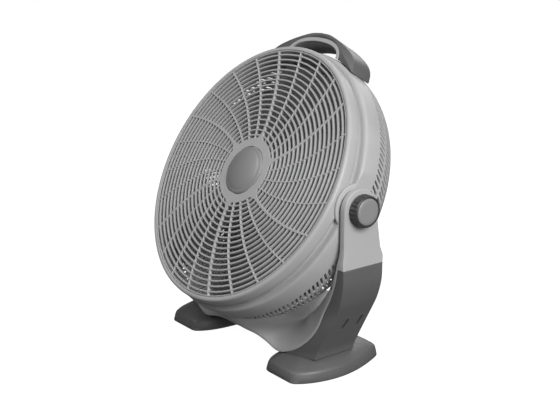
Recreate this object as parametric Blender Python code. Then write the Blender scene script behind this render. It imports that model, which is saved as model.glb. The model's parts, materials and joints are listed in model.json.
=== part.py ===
"""A tilting floor fan: a round drum head on two side pivots, carried by a U-shaped yoke on two feet.

Metres, +Z up, the front faces -Y. The origin is on the floor, under the middle of the fan.
Head pieces are built in the head's own frame: its origin is on the tilt axis, +Y points to the
rear along the blade's axis and +Z points to the handle.
"""

import math

import bmesh
import bpy
from mathutils import Vector

# Driving dimensions.
PIVOT_HEIGHT = 0.333
PIVOT_Y = -0.011
REST_TILT = math.radians(30.4)
GRILLE_Y = -0.054
GAP = 0.0003
WALL = 0.0028

GRILLE_RADIUS = 0.2512
GRILLE_SEAT_RADIUS = 0.2521
GRILLE_THICKNESS = 0.0045
GRILLE_RINGS = 6
GRILLE_SPOKES = 24
GRILLE_BAR = 0.0036
HUB_RING_RADIUS = 0.0665
BADGE_RADIUS = 0.0482
DRUM_FLAT_X = 0.262

BLADE_COUNT = 5
BLADE_RADIUS = 0.234
BLADE_HUB_RADIUS = 0.046
SHAFT_RADIUS = 0.004

BOLT_RADIUS = 0.003
BOLT_HOLE_RADIUS = 0.0036
LEG_INNER_X = 0.2665
LEG_OUTER_X = 0.279
LEG_TOP_RADIUS = 0.037
LEG_SEAM_Z = 0.228
TROUGH_RADIUS = 0.2785
YOKE_WALL = 0.005

FOOT_TOP_Z = 0.0365
FOOT_BOTTOM_Z = 0.0018

LIGHT_GREY = (0.40, 0.40, 0.40)
DARK_GREY = (0.085, 0.085, 0.085)

for old in list(bpy.data.objects):
    bpy.data.objects.remove(old, do_unlink=True)


def material(name, colour, roughness=0.45, metallic=0.0):
    made = bpy.data.materials.new(name)
    made.use_nodes = True
    shader = made.node_tree.nodes["Principled BSDF"]
    shader.inputs["Base Color"].default_value = (*colour, 1.0)
    shader.inputs["Roughness"].default_value = roughness
    shader.inputs["Metallic"].default_value = metallic
    return made


LIGHT = material("light_plastic", LIGHT_GREY)
DARK = material("dark_plastic", DARK_GREY)
BLACK = material("black_plastic", (0.03, 0.03, 0.03))
KNOB = material("knob_plastic", (0.12, 0.12, 0.12))
STEEL = material("steel", (0.55, 0.56, 0.58), 0.3, 1.0)
LAMINATION = material("lamination", (0.25, 0.25, 0.27), 0.45, 1.0)
COPPER = material("copper", (0.72, 0.38, 0.2), 0.35, 1.0)
BRASS = material("brass", (0.72, 0.55, 0.25), 0.35, 1.0)
ALUMINIUM = material("aluminium", (0.6, 0.6, 0.62), 0.4, 1.0)
RUBBER = material("rubber", (0.02, 0.02, 0.02), 0.8)
NATURAL = material("natural_nylon", (0.6, 0.58, 0.52), 0.5)

pivot = bpy.data.objects.new("pivot_axis", None)
pivot.location = (0.0, PIVOT_Y, PIVOT_HEIGHT)
head = bpy.data.objects.new("head_axis", None)
head.parent = pivot
head.rotation_euler = (-REST_TILT, 0.0, 0.0)
for empty in (pivot, head):
    bpy.context.scene.collection.objects.link(empty)


def add(name, points, faces, finish, parent=None, smooth_angle=35.0):
    """One closed body from points and faces, with its faces turned outward."""
    mesh = bpy.data.meshes.new(name)
    mesh.from_pydata([tuple(p) for p in points], [], faces)
    shape = bmesh.new()
    shape.from_mesh(mesh)
    bmesh.ops.recalc_face_normals(shape, faces=shape.faces)
    shape.to_mesh(mesh)
    shape.free()
    mesh.materials.append(finish)
    mesh.shade_smooth()
    mesh.set_sharp_from_angle(angle=math.radians(smooth_angle))
    obj = bpy.data.objects.new(name, mesh)
    obj.parent = parent
    bpy.context.scene.collection.objects.link(obj)
    return obj


def combine(target, other, operation="DIFFERENCE"):
    """Cuts `other` out of `target`, or unites the two, and hides `other`."""
    other.hide_render = True
    other.display_type = "WIRE"
    step = target.modifiers.new(other.name, "BOOLEAN")
    step.operation = operation
    step.object = other


def turned(profile, segments=32, centre=(0.0, 0.0), axis="Y", start=0.0):
    """Points and faces of a profile of (radius, place along the axis) turned about that axis.

    A profile that starts and ends at radius 0 gives a solid; any other one is closed into a ring.
    """
    points = []
    rings = []
    for radius, along in profile:
        ring = []
        for k in range(segments if radius > 0 else 1):
            turn = start + 2 * math.pi * k / segments
            a = centre[0] + radius * math.cos(turn)
            b = centre[1] + radius * math.sin(turn)
            ring.append(len(points))
            points.append({"X": (along, a, b), "Y": (a, along, b), "Z": (a, b, along)}[axis])
        rings.append(ring)
    pairs = list(zip(rings, rings[1:]))
    if len(rings[0]) > 1:
        pairs.append((rings[-1], rings[0]))
    faces = []
    for low, high in pairs:
        for k in range(segments):
            n = (k + 1) % segments
            corners = [low[k % len(low)], low[n % len(low)], high[n % len(high)], high[k % len(high)]]
            faces.append(list(dict.fromkeys(corners)))
    return points, faces


def lathe(name, profile, finish, parent=None, **options):
    points, faces = turned(profile, **options)
    return add(name, points, faces, finish, parent)


def cylinder(name, radius, low, high, finish, parent=None, **options):
    return lathe(name, [(0, low), (radius, low), (radius, high), (0, high)], finish, parent, **options)


def tube(name, inner, outer, low, high, finish, parent=None, **options):
    profile = [(inner, low), (outer, low), (outer, high), (inner, high)]
    return lathe(name, profile, finish, parent, **options)


def screw(name, place, direction, head_radius, shank_radius, length, parent=None, finish=STEEL):
    """A pan-head screw whose head's underside is at `place` and whose shank runs along `direction`."""
    profile = [
        (0, -0.6 * head_radius),
        (0.7 * head_radius, -0.5 * head_radius),
        (head_radius, -0.0),
        (shank_radius, 0.0),
        (shank_radius, length),
        (0, length),
    ]
    obj = lathe(name, profile, finish, parent, segments=8, axis="Z")
    obj.rotation_mode = "QUATERNION"
    obj.rotation_quaternion = Vector((0, 0, 1)).rotation_difference(Vector(direction))
    obj.location = place
    return obj


def prism(name, outline, low, high, finish, parent=None, axis="Y"):
    """An outline extruded along an axis: (x, z) pairs along Y, (y, z) along X, (x, y) along Z."""
    points = []
    for along in (low, high):
        for a, b in outline:
            points.append({"X": (along, a, b), "Y": (a, along, b), "Z": (a, b, along)}[axis])
    count = len(outline)
    faces = [list(range(count)), list(range(2 * count - 1, count - 1, -1))]
    for k in range(count):
        n = (k + 1) % count
        faces.append([k, n, count + n, count + k])
    return add(name, points, faces, finish, parent)


def sheet_solid(front, back):
    """Points and faces of the solid between two grids of points that have equal rows and columns."""
    rows = len(front)
    columns = len(front[0])
    points = [p for row in front for p in row] + [p for row in back for p in row]
    shift = rows * columns

    def at(r, c, side):
        return r * columns + c + side * shift

    faces = []
    for r in range(rows - 1):
        for c in range(columns - 1):
            # Each quad is split along the same diagonal, so that sheets which meet have like facets.
            faces.append([at(r, c, 0), at(r, c + 1, 0), at(r + 1, c + 1, 0)])
            faces.append([at(r, c, 0), at(r + 1, c + 1, 0), at(r + 1, c, 0)])
            faces.append([at(r, c, 1), at(r + 1, c, 1), at(r + 1, c + 1, 1)])
            faces.append([at(r, c, 1), at(r + 1, c + 1, 1), at(r, c + 1, 1)])
    rim = [(0, c) for c in range(columns)] + [(r, columns - 1) for r in range(1, rows)]
    rim += [(rows - 1, c) for c in range(columns - 2, -1, -1)] + [(r, 0) for r in range(rows - 2, 0, -1)]
    for here, there in zip(rim, rim[1:] + rim[:1]):
        faces.append([at(*here, 0), at(*there, 0), at(*there, 1), at(*here, 1)])
    return points, faces


def lattice(name, rows, columns, is_solid, place, finish, parent=None):
    """A round openwork shell. `place(row, column, side)` gives a point, side 0 outside, 1 inside.

    Cell (r, c) lies between rows r and r+1 and columns c and c+1, and columns close into a ring.
    """
    points = []
    index = {}

    def at(r, c, side):
        key = (r, c % columns, side)
        if key not in index:
            index[key] = len(points)
            points.append(place(r, c % columns, side))
        return index[key]

    faces = []
    for r in range(rows):
        for c in range(columns):
            if not is_solid(r, c):
                continue
            # Each quad is split along the same diagonal, so that sheets which meet have like facets.
            faces.append([at(r, c, 0), at(r, c + 1, 0), at(r + 1, c + 1, 0)])
            faces.append([at(r, c, 0), at(r + 1, c + 1, 0), at(r + 1, c, 0)])
            faces.append([at(r, c, 1), at(r + 1, c, 1), at(r + 1, c + 1, 1)])
            faces.append([at(r, c, 1), at(r + 1, c + 1, 1), at(r, c + 1, 1)])
            sides = [
                (r - 1, c, (r, c), (r, c + 1)),
                (r + 1, c, (r + 1, c + 1), (r + 1, c)),
                (r, (c - 1) % columns, (r + 1, c), (r, c)),
                (r, (c + 1) % columns, (r, c + 1), (r + 1, c + 1)),
            ]
            for nr, nc, a, b in sides:
                if not (0 <= nr < rows) or not is_solid(nr, nc):
                    faces.append([at(*a, 0), at(*a, 1), at(*b, 1), at(*b, 0)])
    return add(name, points, faces, finish, parent)


def between(table, value):
    """Straight-line reading of a table of (value, result...) rows, in rising order of value."""
    rows = sorted(table)
    if value <= rows[0][0]:
        return rows[0][1:]
    for low, high in zip(rows, rows[1:]):
        if value <= high[0]:
            part = (value - low[0]) / (high[0] - low[0])
            return tuple(a + part * (b - a) for a, b in zip(low[1:], high[1:]))
    return rows[-1][1:]


# ---------------------------------------------------------------- head: grille and drum


def spiral(radius):
    """How far a grille spoke has turned, in radians, at this radius, from its outer end."""
    share = (GRILLE_RADIUS - radius) / (GRILLE_RADIUS - HUB_RING_RADIUS)
    return math.radians(17.6) * share**1.05


def front_grille():
    pitch = (GRILLE_RADIUS - HUB_RING_RADIUS) / (GRILLE_RINGS + 1)
    radii = [BADGE_RADIUS + 3 * GAP, HUB_RING_RADIUS]
    for k in range(1, GRILLE_RINGS + 1):
        middle = HUB_RING_RADIUS + k * pitch
        radii += [middle - GRILLE_BAR / 2, middle + GRILLE_BAR / 2]
    radii += [GRILLE_RADIUS - GRILLE_BAR, GRILLE_RADIUS]

    def place(r, c, side):
        radius = radii[r]
        base = 2 * math.pi * (c // 2) / GRILLE_SPOKES
        half = GRILLE_BAR / 2 / radius
        turn = math.radians(3.0) + base + spiral(radius) + (half if c % 2 else -half)
        y = GRILLE_Y + 0.0006 + side * GRILLE_THICKNESS
        return (radius * math.sin(turn), y, radius * math.cos(turn))

    lattice("front_grille", len(radii) - 1, 2 * GRILLE_SPOKES, lambda r, c: r % 2 == 0 or c % 2 == 0,
            place, LIGHT, head)
    badge = [(0, -0.008), (0.02, -0.0072), (0.036, -0.0048), (0.0465, -0.0012), (BADGE_RADIUS, 0.0016),
             (BADGE_RADIUS, 0.005), (0, 0.005)]
    lathe("grille_badge", [(r, GRILLE_Y + d) for r, d in badge], KNOB, head, segments=36)


FRONT_RING = [
    (GRILLE_SEAT_RADIUS, 0.0),
    (0.2585, 0.0),
    (0.2602, 0.004),
    (0.2620, 0.022),
    (0.2575, 0.0245),
    (0.2575, 0.0257),
    (0.2480, 0.0257),
    (0.2480, 0.0060),
    (GRILLE_SEAT_RADIUS, 0.0060),
]

# Outer surface of the drum housing: depth behind the grille plane and radius.
DRUM = [
    (0.0260, 0.2568),
    (0.0345, 0.2568),
    (0.0370, 0.2680),
    (0.0550, 0.2698),
    (0.0700, 0.2696),
    (0.0950, 0.2672),
    (0.1150, 0.2595),
    (0.1300, 0.2500),
    (0.1460, 0.2360),
    (0.1570, 0.2190),
    (0.1640, 0.1960),
    (0.1670, 0.1820),
    (0.1700, 0.1020),
    (0.1710, 0.0800),
    (0.1710, 0.0120),
]
DRUM_SLOT_ROWS = range(4, 10)
DRUM_REAR_SLOT_ROWS = (11,)
DRUM_COLUMNS = 56


def drum_normal(k):
    """Direction of the outside of the drum's profile at point k, as (depth, radius)."""
    before = DRUM[max(k - 1, 0)]
    after = DRUM[min(k + 1, len(DRUM) - 1)]
    along = Vector((after[0] - before[0], after[1] - before[1])).normalized()
    return -along.y, along.x


def drum_housing():
    def place(r, c, side):
        depth, radius = DRUM[r]
        if side:
            nd, nr = drum_normal(r)
            depth, radius = depth - WALL * nd, radius - WALL * nr
            if r in (0, len(DRUM) - 1):
                depth, radius = (DRUM[r][0], radius) if r == 0 else (depth, DRUM[r][1])
        turn = 2 * math.pi * (c + 0.5) / DRUM_COLUMNS
        limit = DRUM_FLAT_X - side * WALL
        x = max(-limit, min(limit, radius * math.sin(turn)))
        return (x, GRILLE_Y + depth, radius * math.cos(turn))

    def is_solid(r, c):
        return not (r in DRUM_SLOT_ROWS or r in DRUM_REAR_SLOT_ROWS) or c % 2 == 0

    drum = lattice("drum_housing", len(DRUM) - 1, DRUM_COLUMNS, is_solid, place, LIGHT, head)
    hole = cylinder("drum_bolt_hole", BOLT_HOLE_RADIUS, -0.3, 0.3, LIGHT, head, segments=16, axis="X")
    combine(drum, hole)
    for k, corner in enumerate(MOTOR_SCREWS):
        drill = cylinder(f"drum_motor_hole_{k}", 0.0026, 0.08, 0.14, LIGHT, head, segments=10,
                         centre=corner)
        combine(drum, drill)
    ring = [(r, GRILLE_Y + d) for r, d in FRONT_RING]
    lathe("front_ring", ring, LIGHT, head, segments=56)


# Four screws on a 76 mm circle hold the motor to the housing's rear plate.
MOTOR_SCREWS = [
    (0.038 * math.cos(math.radians(45 + 90 * k)), 0.038 * math.sin(math.radians(45 + 90 * k)))
    for k in range(4)
]

# ---------------------------------------------------------------- head: handle

HANDLE_OUTER = [
    (0.000, 0.3090), (0.025, 0.3070), (0.050, 0.3000), (0.075, 0.2905), (0.100, 0.2785),
    (0.115, 0.2680), (0.125, 0.2550), (0.129, 0.2420),
]
HANDLE_HOLE_HALF = 0.070
HANDLE_APEX = 0.2905
# Outer edge of the light band round the hand hole.
LIP_OUTER = [
    (0.000, 0.2985), (0.025, 0.2970), (0.045, 0.2930), (0.062, 0.2850), (0.074, 0.2740), (0.079, 0.2640),
]


def handle_outline(outer, apex, clearance):
    """Half-round grip over the drum: outer edge, drum seat, hand hole, all as (x, z)."""
    right = list(outer)
    seat = 0.2700 + clearance
    end = math.asin(right[-1][0] / seat)
    start = math.asin(HANDLE_HOLE_HALF / seat)
    for k in range(6):
        turn = end + (start - end) * k / 5
        right.append((seat * math.sin(turn), seat * math.cos(turn)))
    low = right[-1][1]
    for k in range(1, 6):
        turn = math.pi / 2 * k / 5
        right.append((HANDLE_HOLE_HALF * math.cos(turn), low + (apex - low) * math.sin(turn) ** 0.8))
    top = right[: len(outer)]
    rest = right[len(outer):]
    left = [(-x, z) for x, z in reversed(top[1:])]
    left_rest = [(-x, z) for x, z in reversed(rest[:-1])]
    return left + top + rest + left_rest


def handle():
    lip = handle_outline(LIP_OUTER, HANDLE_APEX, GAP)
    prism("handle_lip", lip, GRILLE_Y + 0.0375, GRILLE_Y + 0.0415, LIGHT, head)
    cover = handle_outline(HANDLE_OUTER, HANDLE_APEX - 0.003, GAP)
    shell = prism("handle_cover", cover, GRILLE_Y + 0.0375, GRILLE_Y + 0.0900, DARK, head)
    right = [(x + GAP, z + GAP) for x, z in LIP_OUTER] + [(LIP_OUTER[-1][0] + GAP, 0.250)]
    outline = [(-x, z) for x, z in reversed(right)] + right
    combine(shell, prism("lip_seat", outline, GRILLE_Y + 0.030, GRILLE_Y + 0.0418, DARK, head))
    for side, word in ((-1, "left"), (1, "right")):
        place = (side * 0.098, GRILLE_Y + 0.0905, 0.2620)
        screw(f"handle_screw_{word}", place, (0, -1, 0), 0.0035, 0.0018, 0.012, head)
        drill = cylinder(f"handle_hole_{word}", 0.0022, 0.02, 0.05, DARK, head, segments=10,
                         centre=(side * 0.098, 0.2620))
        combine(shell, drill)


# ---------------------------------------------------------------- head: blade and motor


def fan_blade():
    hub_front = GRILLE_Y + 0.022
    inner = BLADE_HUB_RADIUS - 0.003
    profile = [(0, 0), (0.030, 0), (0.042, 0.004), (BLADE_HUB_RADIUS, 0.012), (BLADE_HUB_RADIUS, 0.050),
               (inner, 0.050), (inner, 0.010), (0.012, 0.006), (0.012, 0.030), (0, 0.030)]
    hub = lathe("fan_blade", [(r, hub_front + d) for r, d in profile], DARK, head, segments=30)
    points = []
    faces = []
    for k in range(BLADE_COUNT):
        front = []
        back = []
        for i in range(6):
            share = i / 5
            radius = BLADE_HUB_RADIUS - 0.0015 + share * (BLADE_RADIUS - BLADE_HUB_RADIUS)
            spread = math.radians(27.0 + 4.0 * math.sin(math.pi * share))
            sweep = math.radians(14.0) * share
            rise = 0.021 + 0.004 * share
            row_front = []
            row_back = []
            for j in range(5):
                chord = j / 4 * 2 - 1
                turn = 2 * math.pi * k / BLADE_COUNT + sweep + chord * spread
                y = hub_front + 0.031 + rise * (chord - 0.18 * (1 - chord * chord))
                x, z = radius * math.sin(turn), radius * math.cos(turn)
                row_front.append((x, y - 0.0011, z))
                row_back.append((x, y + 0.0011, z))
            front.append(row_front)
            back.append(row_back)
        these, sides = sheet_solid(front, back)
        faces += [[n + len(points) for n in side] for side in sides]
        points += these
    blades = add("blade_set", points, faces, DARK, head)
    combine(hub, blades, "UNION")
    bore = cylinder("blade_bore", SHAFT_RADIUS + GAP, hub_front - 0.01, hub_front + 0.04, DARK, head,
                    segments=16)
    combine(hub, bore)


def motor():
    plate = GRILLE_Y + 0.1682
    front = plate - 0.066
    tube("stator_core", 0.0300, 0.0494, front + 0.019, front + 0.043, LAMINATION, head, segments=24)
    for name, low, high in (("front_winding", 0.0085, 0.0187), ("rear_winding", 0.0433, 0.0535)):
        ring = [(0.0320, front + low + 0.002), (0.0345, front + low), (0.0430, front + low),
                (0.0455, front + low + 0.002), (0.0455, front + high), (0.0320, front + high)]
        lathe(name, ring, COPPER, head, segments=20)
    bells = (("motor_front_bell", 0.0, 0.0295, True), ("motor_rear_bell", 0.0298, 0.066, False))
    for name, low, high, nose in bells:
        bell = bell_profile(front + low, front + high, nose)
        shell = lathe(name, bell, ALUMINIUM, head, segments=20)
        if not nose:
            for k, corner in enumerate(MOTOR_SCREWS):
                drill = cylinder(f"bell_hole_{k}", 0.0024, plate - 0.004, plate + 0.004, STEEL, head,
                                 segments=10, centre=corner)
                combine(shell, drill)
    cylinder("rotor_core", 0.0294, front + 0.018, front + 0.044, LAMINATION, head, segments=24)
    core = bpy.data.objects["rotor_core"]
    combine(core, cylinder("rotor_bore", SHAFT_RADIUS + GAP, front, front + 0.06, STEEL, head, segments=16))
    cylinder("motor_shaft", SHAFT_RADIUS, GRILLE_Y + 0.0190, front + 0.061, STEEL, head, segments=16)
    tube("front_bearing", SHAFT_RADIUS + GAP, 0.0107, front + 0.001, front + 0.007, BRASS, head, segments=20)
    tube("rear_bearing", SHAFT_RADIUS + GAP, 0.0107, front + 0.055, front + 0.0605, BRASS, head, segments=20)
    tube("blade_nut", 0.0050, 0.0090, GRILLE_Y + 0.0150, GRILLE_Y + 0.0217, BLACK, head, segments=6)
    for k, (x, z) in enumerate(MOTOR_SCREWS):
        place = (x, GRILLE_Y + 0.1710 + GAP, z)
        screw(f"motor_screw_{k + 1}", place, (0, -1, 0), 0.0040, 0.0020, 0.0095, head)


def bell_profile(low, high, nose):
    """Half of the motor's shell: a cup with a bearing seat in its closed end."""
    seat = 0.0110
    if nose:
        return [(seat, low), (0.0300, low), (0.0500, low + 0.010), (0.0540, low + 0.014), (0.0540, high),
                (0.0505, high), (0.0505, low + 0.015), (0.0460, low + 0.007), (0.0310, low + 0.003),
                (0.0140, low + 0.003), (0.0140, low + 0.0075), (seat, low + 0.0075)]
    return [(seat, high - 0.0115), (0.0140, high - 0.0115), (0.0140, high - 0.0030), (0.0505, high - 0.0030),
            (0.0505, low), (0.0540, low), (0.0540, high - 0.0002), (0.0530, high), (seat, high)]


def rear_controls():
    back = GRILLE_Y + 0.1714
    cover = [(0.0880, back), (0.0905, back), (0.0900, back + 0.010), (0.0820, back + 0.024),
             (0.0560, back + 0.033), (0.0300, back + 0.035), (0.0300, back + 0.028), (0.0062, back + 0.028),
             (0.0062, back + 0.0255), (0.0330, back + 0.0255), (0.0330, back + 0.0322),
             (0.0545, back + 0.0302), (0.0800, back + 0.0218), (0.0875, back + 0.009)]
    shell = lathe("motor_cover", cover, LIGHT, head, segments=28)
    gland_hole = cylinder("gland_hole", 0.0068, -0.10, -0.06, LIGHT, head, segments=16, axis="Z",
                          centre=(0.0, back + 0.012))
    combine(shell, gland_hole)
    tube("cord_gland", 0.0038, 0.0065, -0.0960, -0.0800, BLACK, head, segments=16, axis="Z",
         centre=(0.0, back + 0.012))
    dial = [(0, back + 0.047), (0.0220, back + 0.047), (0.0245, back + 0.044), (0.0265, back + 0.0290),
            (0.0040, back + 0.0290), (0.0040, back + 0.0200), (0, back + 0.0200)]
    lathe("speed_dial", dial, KNOB, head, segments=24)
    tube("speed_switch", 0.0045, 0.0130, back + 0.0120, back + 0.0250, BLACK, head, segments=16)
    cylinder("capacitor", 0.0090, 0.0330, 0.0650, NATURAL, head, segments=20, axis="Z",
             centre=(-0.030, back + 0.0105))
    block = [(0.033, -0.048), (0.061, -0.048), (0.061, -0.030), (0.033, -0.030)]
    prism("terminal_block", block, back + 0.001, back + 0.012, NATURAL, head)


# ---------------------------------------------------------------- pivots and knobs


def pivots():
    for side, word in ((-1, "left"), (1, "right")):
        low, high = side * 0.2460, side * (DRUM_FLAT_X - WALL - GAP)
        tube(f"pivot_insert_{word}", BOLT_RADIUS + GAP, 0.0100, low, high, BRASS, head, segments=16, axis="X")
        low, high = side * (DRUM_FLAT_X + GAP), side * (LEG_INNER_X - GAP)
        tube(f"pivot_washer_{word}", BOLT_HOLE_RADIUS, 0.0150, low, high, NATURAL, pivot, segments=20,
             axis="X")
        cylinder(f"pivot_bolt_{word}", BOLT_RADIUS, side * 0.2480, side * 0.2900, STEEL, pivot, segments=16,
                 axis="X")
        knob(side, word)


def knob(side, word):
    """A tilt-lock knob: a fluted rim with a recess in its face, and a smooth cap in that recess."""
    base = LEG_OUTER_X + GAP
    rim = base + 0.0185
    flutes = 16
    steps = ((base, 0.0275), (base + 0.002, 0.0290), (rim - 0.003, 0.0290), (rim, 0.0268))
    points = []
    faces = []
    count = 2 * flutes
    for x, radius in steps:
        for k in range(count):
            turn = 2 * math.pi * k / count
            r = radius - (0.0014 if k % 2 and base < x else 0.0)
            points.append((side * x, r * math.cos(turn), r * math.sin(turn)))
    for ring in range(len(steps) - 1):
        for k in range(count):
            n = (k + 1) % count
            low, high = ring * count, (ring + 1) * count
            faces.append([low + k, low + n, high + n, high + k])
    faces.append(list(range(count)))
    faces.append([(len(steps) - 1) * count + k for k in range(count - 1, -1, -1)])
    body = add(f"tilt_knob_{word}", points, faces, BLACK, pivot)
    recess = cylinder(f"knob_recess_{word}", 0.0243, side * (rim - 0.0040), side * (rim + 0.002), KNOB, pivot,
                      segments=40, axis="X")
    combine(body, recess)
    seat = cylinder(f"knob_seat_{word}", BOLT_RADIUS + GAP, side * (base - 0.002), side * 0.2903, KNOB, pivot,
                    segments=16, axis="X")
    combine(body, seat)
    low = rim - 0.0040 + GAP
    cap = [(0, low), (0.0240, low), (0.0240, rim - 0.0005), (0.0225, rim + 0.0008), (0.0120, rim + 0.0015),
           (0, rim + 0.0017)]
    lathe(f"knob_cap_{word}", [(r, side * x) for r, x in cap], KNOB, pivot, segments=32, axis="X")


# ---------------------------------------------------------------- yoke, legs and feet

# Front edge of the yoke: angle from straight down about the tilt axis, in degrees, then y and the
# radius from the tilt axis, both measured in the fan's front view.
YOKE_EDGE = [
    (0.0, -0.060, 0.2830), (10.0, -0.060, 0.2875), (16.0, -0.060, 0.2990), (22.0, -0.060, 0.3190),
    (27.0, -0.057, 0.3235), (34.0, -0.052, 0.3230), (42.7, -0.045, 0.3140), (49.0, -0.039, 0.2990),
    (56.6, -0.037, 0.2910), (62.2, -0.037, 0.2860), (67.9, -0.038, 0.2795), (72.0, -0.039, 0.2785),
]
YOKE_ACROSS = (0.0, 0.05, 0.12, 0.24, 0.40, 0.70, 0.86, 1.0)
YOKE_ANGLES = (68.0, 62.2, 56.6, 52.0, 47.0, 42.7, 38.0, 33.9, 28.0, 22.0, 16.0, 10.0, 5.0)
LEG_TOP_STEPS = (0.0366, 0.034, 0.028, 0.019, 0.007, -0.015, -0.045, -0.075)
LEG_REAR_Y = 0.056
# Behind its bottom, the trough runs further back and rises round the head's swing.
BOWL_CREASE_Y = 0.048
BOWL_REAR_Y = 0.130
BOWL_RISE = 0.40


def trough_row(degrees, offset):
    """A row of the trough's surface from front to rear, moved outward by `offset`."""
    y_front, r_front = between(YOKE_EDGE, degrees)
    lip = r_front - TROUGH_RADIUS
    length = LEG_REAR_Y - y_front
    steep = max(0.0, min(1.0, (degrees - 28.0) / 10.0))
    reach = 0.40 + steep * (0.5 * lip / length - 0.40)
    power = 2.0 - 0.8 * steep
    bowl = max(0.0, min(1.0, (22.0 - degrees) / 10.0))
    turn = math.radians(degrees)
    row = []
    for share in YOKE_ACROSS:
        tail = max(0.0, (share - 0.86) / 0.14)
        y = y_front + share * length + bowl * tail * (BOWL_REAR_Y - LEG_REAR_Y)
        radius = TROUGH_RADIUS + offset + lip * max(0.0, 1 - share / reach) ** power
        radius += (1 - bowl) * 0.5 * lip * max(0.0, (share - 0.70) / 0.30) ** 2
        radius -= bowl * BOWL_RISE * max(0.0, y - BOWL_CREASE_Y)
        row.append((radius * math.sin(turn), PIVOT_Y + y, PIVOT_HEIGHT - radius * math.cos(turn)))
    return row


def leg_row(z, x):
    """A row of a leg's flat side, at height z above the tilt axis."""
    if z > 0:
        half = math.sqrt(LEG_TOP_RADIUS**2 - z * z)
        front, rear = -half, half
    else:
        share = min(1.0, -z / (PIVOT_HEIGHT - LEG_SEAM_Z))
        front = -LEG_TOP_RADIUS
        rear = LEG_TOP_RADIUS + share * (LEG_REAR_Y - LEG_TOP_RADIUS - 0.002)
    return [(x, PIVOT_Y + front + share * (rear - front), PIVOT_HEIGHT + z) for share in YOKE_ACROSS]


def yoke():
    inner = [leg_row(z, LEG_INNER_X) for z in LEG_TOP_STEPS]
    outer = [leg_row(z, LEG_OUTER_X) for z in LEG_TOP_STEPS]
    for degrees in (71.0, 69.0):
        inner.append(trough_row(degrees, 0.0))
        outer.append([(LEG_OUTER_X, y, max(z, LEG_SEAM_Z)) for x, y, z in inner[-1]])
    outer[-1] = [(x, y, LEG_SEAM_Z) for x, y, z in outer[-1]]
    for degrees in YOKE_ANGLES:
        inner.append(trough_row(degrees, 0.0))
        outer.append(trough_row(degrees, YOKE_WALL))
        if degrees == YOKE_ANGLES[0]:
            outer[-1] = [(x, y, LEG_SEAM_Z) for x, y, z in outer[-1]]
    inner.append(trough_row(0.0, 0.0))
    outer.append(trough_row(0.0, YOKE_WALL))
    for rows in (inner, outer):
        rows += [[(-x, y, z) for x, y, z in row] for row in reversed(rows[:-1])]
    points, faces = sheet_solid(inner, outer)
    body = add("yoke", points, faces, LIGHT)
    hole = cylinder("yoke_bolt_hole", BOLT_HOLE_RADIUS, -0.3, 0.3, LIGHT, segments=16, axis="X",
                    centre=(PIVOT_Y, PIVOT_HEIGHT))
    combine(body, hole)
    return body


# Outer face of a leg below the seam: height and x.
LEG_FACE = [(0.0368, 0.2060), (0.0500, 0.2090), (0.0720, 0.2205), (0.0950, 0.2330), (0.1150, 0.2440),
            (0.1350, 0.2550), (0.1570, 0.2665), (0.1800, 0.2745), (0.2000, 0.2785), (0.2277, LEG_OUTER_X)]
LEG_COVER_ANGLES = (68.0, 62.2, 56.6, 52.0, 47.0, 42.7, 38.0, 33.9, 28.0, 26.0)


def leg_cover_solid(name, side, inset, finish):
    """The leg below the seam, between the trough's outside and the leg's outer face."""
    inner = []
    outer = []
    angles = LEG_COVER_ANGLES[: len(LEG_COVER_ANGLES) - (inset > 0)]
    count = len(angles) - 1
    for k, degrees in enumerate(angles):
        row = trough_row(degrees, YOKE_WALL + GAP + inset)
        z_low, z_high = LEG_FACE[0][0] + inset * 1.5, LEG_FACE[-1][0] - inset
        z = z_high + (z_low - z_high) * k / count
        (x,) = between(LEG_FACE, z)
        near, far = row[0][1] + inset, row[-1][1] - inset
        across = [near + share * (far - near) for share in YOKE_ACROSS]
        inner_row = []
        for (px, py, pz), y in zip(row, across):
            pz = min(pz, z_high)
            pz = max(pz, z_low) if k < count else z_low
            inner_row.append((side * px, y, pz))
        inner.append(inner_row)
        taper = 0.020 * max(0.0, min(1.0, (0.200 - z) / 0.040))
        front = near + taper * (LEG_OUTER_X - x) / (LEG_OUTER_X - LEG_FACE[0][1])
        outer.append([(side * (x - inset), front + share * (far - front), z) for share in YOKE_ACROSS])
    if side < 0:
        # The left leg's rows run upward, as the yoke's do there, so that their facets match.
        inner.reverse()
        outer.reverse()
    points, faces = sheet_solid(inner, outer)
    return add(name, points, faces, finish)


def slot_outline(y, z, length, width):
    """A slanted slot with round ends, as (y, z) pairs."""
    points = []
    lean = math.radians(78.0)
    for end in (1, -1):
        for k in range(7):
            turn = lean + math.pi / 2 * (1 - end) + math.radians(-90 + 30 * k)
            cy = y + end * (length - width) / 2 * math.cos(lean)
            cz = z + end * (length - width) / 2 * math.sin(lean)
            points.append((cy + width / 2 * math.cos(turn), cz + width / 2 * math.sin(turn)))
    return points


# A slanting screw through the yoke's front face holds each leg cover. Its seat lies at this angle
# from straight down and this radius about the tilt axis, and its axis leans back from the radius.
LEG_SCREW_TURN = math.radians(59.5)
LEG_SCREW_RADIUS = 0.2838
LEG_SCREW_Y = PIVOT_Y - 0.0338
LEG_SCREW_LEAN = math.radians(62.0)


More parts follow.
